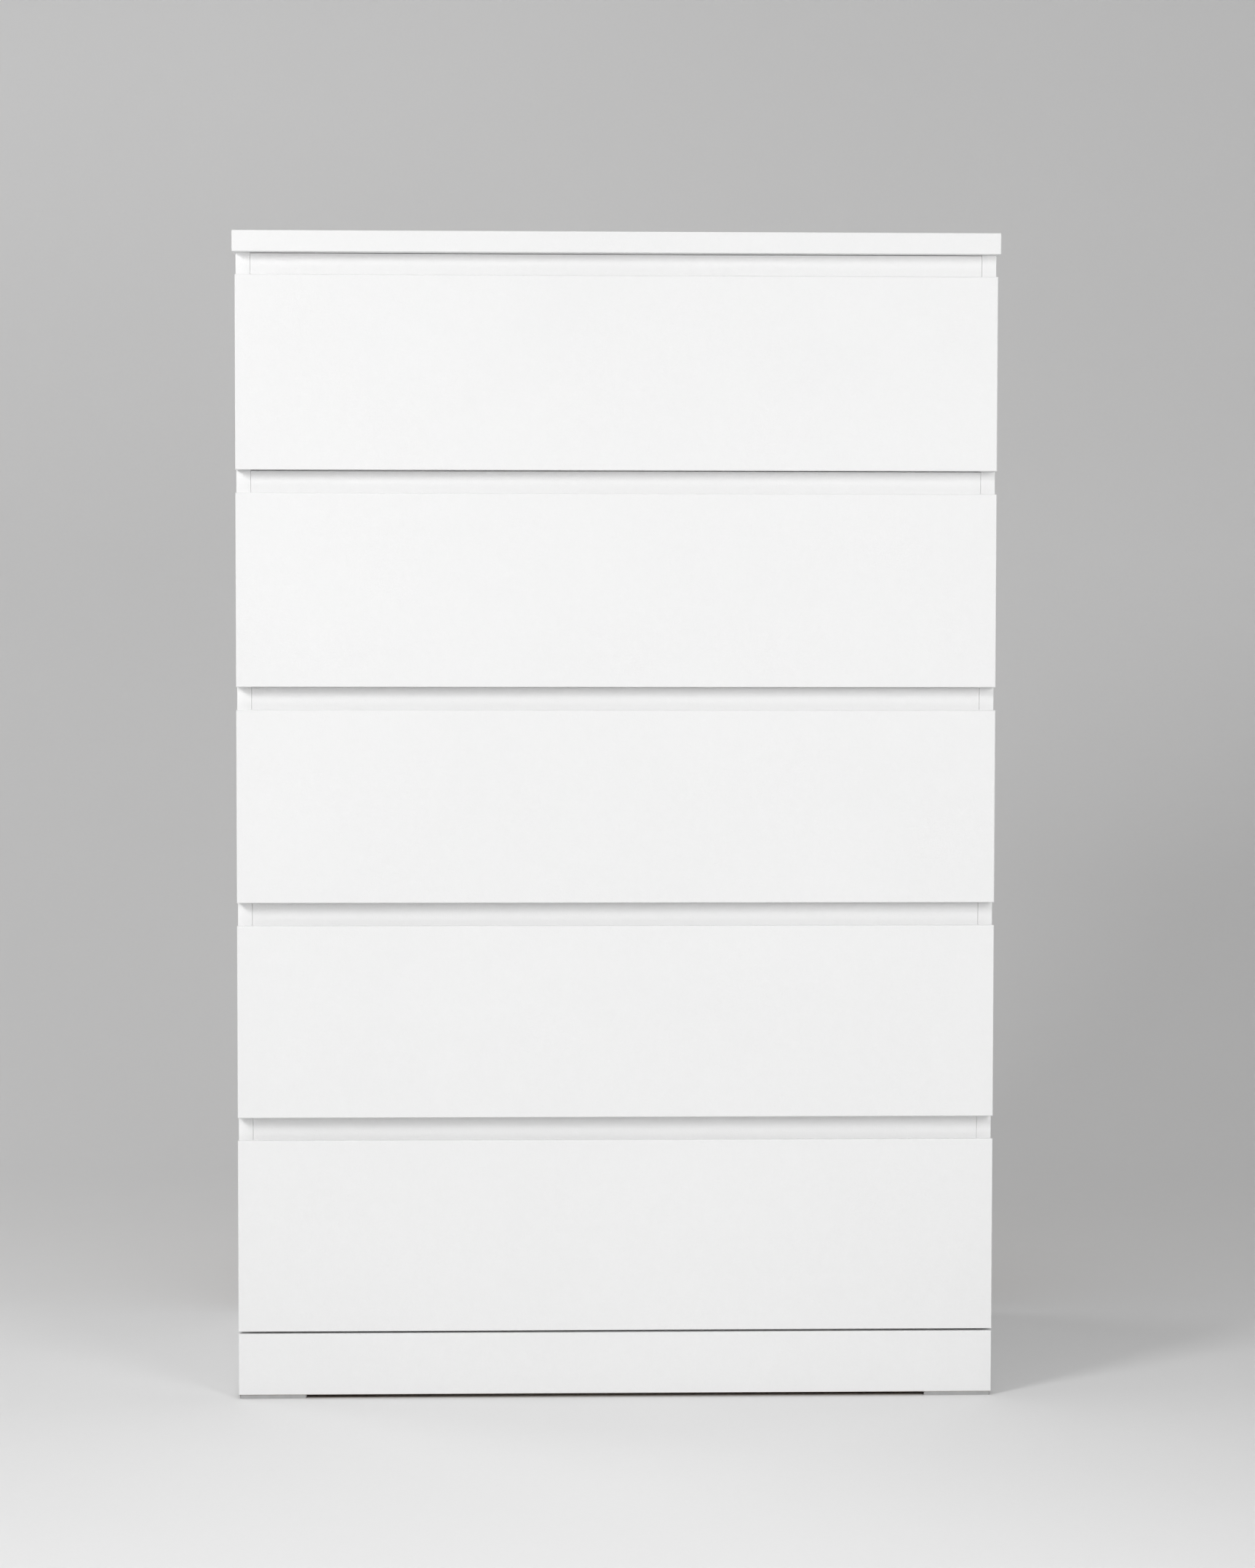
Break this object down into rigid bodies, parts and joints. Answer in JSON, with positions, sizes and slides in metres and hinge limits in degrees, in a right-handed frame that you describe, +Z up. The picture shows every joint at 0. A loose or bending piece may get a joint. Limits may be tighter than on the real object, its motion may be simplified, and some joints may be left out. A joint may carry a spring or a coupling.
{
  "type": "chest of drawers",
  "caption": "Tall white chest of drawers with flat handle-free overlay fronts, finger gaps above each front, a thin top panel and a plinth base on low foot pads.",
  "frame": {"origin": "on the floor under the feet, at the centre of the chest's footprint", "axes": "+Z up, +Y towards the back, so the drawers open along -Y, and +X to the right of someone facing the front"},
  "size_m": [0.8, 0.48, 1.223],
  "materials": {
    "white_board": "smooth matt white foil over particleboard",
    "drawer_foil": "matt white foil over thin fibreboard",
    "drawer_hardboard": "white printed hardboard",
    "back_hardboard": "raw brown hardboard outside, white inside",
    "foot_plastic": "matt grey",
    "runner_enamel": "white epoxy coat",
    "roller_nylon": "satin moulded",
    "cam_metal": "as cast",
    "bolt_steel": "zinc plated"
  },
  "bodies": {
    "case": {"top_panel": "white_board", "side_panel_left": "white_board", "side_panel_right": "white_board", "bottom_panel": "white_board", "back_panel": "back_hardboard", "plinth_board": "white_board", "grip_rail_1": "white_board", "grip_rail_2": "white_board", "grip_rail_3": "white_board", "grip_rail_4": "white_board", "grip_rail_5": "white_board", "foot_pads": "foot_plastic", "cam_locks": "cam_metal", "cam_bolts": "bolt_steel", "back_panel_nails": "bolt_steel", "case_runners_1": "runner_enamel", "case_runners_2": "runner_enamel", "case_runners_3": "runner_enamel", "case_runners_4": "runner_enamel", "case_runners_5": "runner_enamel"},
    "drawer_1": {"drawer_1_front": "white_board", "drawer_1_side_left": "drawer_foil", "drawer_1_side_right": "drawer_foil", "drawer_1_back": "drawer_foil", "drawer_1_bottom": "drawer_hardboard", "drawer_1_runners": "runner_enamel"},
    "drawer_1_rear_rollers": {"drawer_1_rollers": "roller_nylon"},
    "case_front_rollers_1": {"case_rollers_1": "roller_nylon"},
    "drawer_2": {"drawer_2_front": "white_board", "drawer_2_side_left": "drawer_foil", "drawer_2_side_right": "drawer_foil", "drawer_2_back": "drawer_foil", "drawer_2_bottom": "drawer_hardboard", "drawer_2_runners": "runner_enamel"},
    "drawer_2_rear_rollers": {"drawer_2_rollers": "roller_nylon"},
    "case_front_rollers_2": {"case_rollers_2": "roller_nylon"},
    "drawer_3": {"drawer_3_front": "white_board", "drawer_3_side_left": "drawer_foil", "drawer_3_side_right": "drawer_foil", "drawer_3_back": "drawer_foil", "drawer_3_bottom": "drawer_hardboard", "drawer_3_runners": "runner_enamel"},
    "drawer_3_rear_rollers": {"drawer_3_rollers": "roller_nylon"},
    "case_front_rollers_3": {"case_rollers_3": "roller_nylon"},
    "drawer_4": {"drawer_4_front": "white_board", "drawer_4_side_left": "drawer_foil", "drawer_4_side_right": "drawer_foil", "drawer_4_back": "drawer_foil", "drawer_4_bottom": "drawer_hardboard", "drawer_4_runners": "runner_enamel"},
    "drawer_4_rear_rollers": {"drawer_4_rollers": "roller_nylon"},
    "case_front_rollers_4": {"case_rollers_4": "roller_nylon"},
    "drawer_5": {"drawer_5_front": "white_board", "drawer_5_side_left": "drawer_foil", "drawer_5_side_right": "drawer_foil", "drawer_5_back": "drawer_foil", "drawer_5_bottom": "drawer_hardboard", "drawer_5_runners": "runner_enamel"},
    "drawer_5_rear_rollers": {"drawer_5_rollers": "roller_nylon"},
    "case_front_rollers_5": {"case_rollers_5": "roller_nylon"}
  },
  "joints": [
    {"name": "drawer_1_slide", "type": "slide", "parent": "case", "child": "drawer_1", "axis": [0, -1, 0], "range_m": [0, 0.3]},
    {"name": "drawer_1_rear_roller_spin", "type": "hinge", "parent": "drawer_1", "child": "drawer_1_rear_rollers", "pos_m": [0, 0.168, 0.988], "axis": [1, 0, 0], "continuous": true},
    {"name": "case_front_roller_1_spin", "type": "hinge", "parent": "case", "child": "case_front_rollers_1", "pos_m": [0, -0.206, 0.993], "axis": [1, 0, 0], "continuous": true},
    {"name": "drawer_2_slide", "type": "slide", "parent": "case", "child": "drawer_2", "axis": [0, -1, 0], "range_m": [0, 0.3]},
    {"name": "drawer_2_rear_roller_spin", "type": "hinge", "parent": "drawer_2", "child": "drawer_2_rear_rollers", "pos_m": [0, 0.168, 0.762], "axis": [1, 0, 0], "continuous": true},
    {"name": "case_front_roller_2_spin", "type": "hinge", "parent": "case", "child": "case_front_rollers_2", "pos_m": [0, -0.206, 0.767], "axis": [1, 0, 0], "continuous": true},
    {"name": "drawer_3_slide", "type": "slide", "parent": "case", "child": "drawer_3", "axis": [0, -1, 0], "range_m": [0, 0.3]},
    {"name": "drawer_3_rear_roller_spin", "type": "hinge", "parent": "drawer_3", "child": "drawer_3_rear_rollers", "pos_m": [0, 0.168, 0.536], "axis": [1, 0, 0], "continuous": true},
    {"name": "case_front_roller_3_spin", "type": "hinge", "parent": "case", "child": "case_front_rollers_3", "pos_m": [0, -0.206, 0.541], "axis": [1, 0, 0], "continuous": true},
    {"name": "drawer_4_slide", "type": "slide", "parent": "case", "child": "drawer_4", "axis": [0, -1, 0], "range_m": [0, 0.3]},
    {"name": "drawer_4_rear_roller_spin", "type": "hinge", "parent": "drawer_4", "child": "drawer_4_rear_rollers", "pos_m": [0, 0.168, 0.31], "axis": [1, 0, 0], "continuous": true},
    {"name": "case_front_roller_4_spin", "type": "hinge", "parent": "case", "child": "case_front_rollers_4", "pos_m": [0, -0.206, 0.315], "axis": [1, 0, 0], "continuous": true},
    {"name": "drawer_5_slide", "type": "slide", "parent": "case", "child": "drawer_5", "axis": [0, -1, 0], "range_m": [0, 0.3]},
    {"name": "drawer_5_rear_roller_spin", "type": "hinge", "parent": "drawer_5", "child": "drawer_5_rear_rollers", "pos_m": [0, 0.168, 0.084], "axis": [1, 0, 0], "continuous": true},
    {"name": "case_front_roller_5_spin", "type": "hinge", "parent": "case", "child": "case_front_rollers_5", "pos_m": [0, -0.206, 0.089], "axis": [1, 0, 0], "continuous": true}
  ],
  "couplings": [
    {"joint": "drawer_1_rear_roller_spin", "follows": "drawer_1_slide", "rad_per_m": 125},
    {"joint": "case_front_roller_1_spin", "follows": "drawer_1_slide", "rad_per_m": 125},
    {"joint": "drawer_2_rear_roller_spin", "follows": "drawer_2_slide", "rad_per_m": 125},
    {"joint": "case_front_roller_2_spin", "follows": "drawer_2_slide", "rad_per_m": 125},
    {"joint": "drawer_3_rear_roller_spin", "follows": "drawer_3_slide", "rad_per_m": 125},
    {"joint": "case_front_roller_3_spin", "follows": "drawer_3_slide", "rad_per_m": 125},
    {"joint": "drawer_4_rear_roller_spin", "follows": "drawer_4_slide", "rad_per_m": 125},
    {"joint": "case_front_roller_4_spin", "follows": "drawer_4_slide", "rad_per_m": 125},
    {"joint": "drawer_5_rear_roller_spin", "follows": "drawer_5_slide", "rad_per_m": 125},
    {"joint": "case_front_roller_5_spin", "follows": "drawer_5_slide", "rad_per_m": 125}
  ]
}
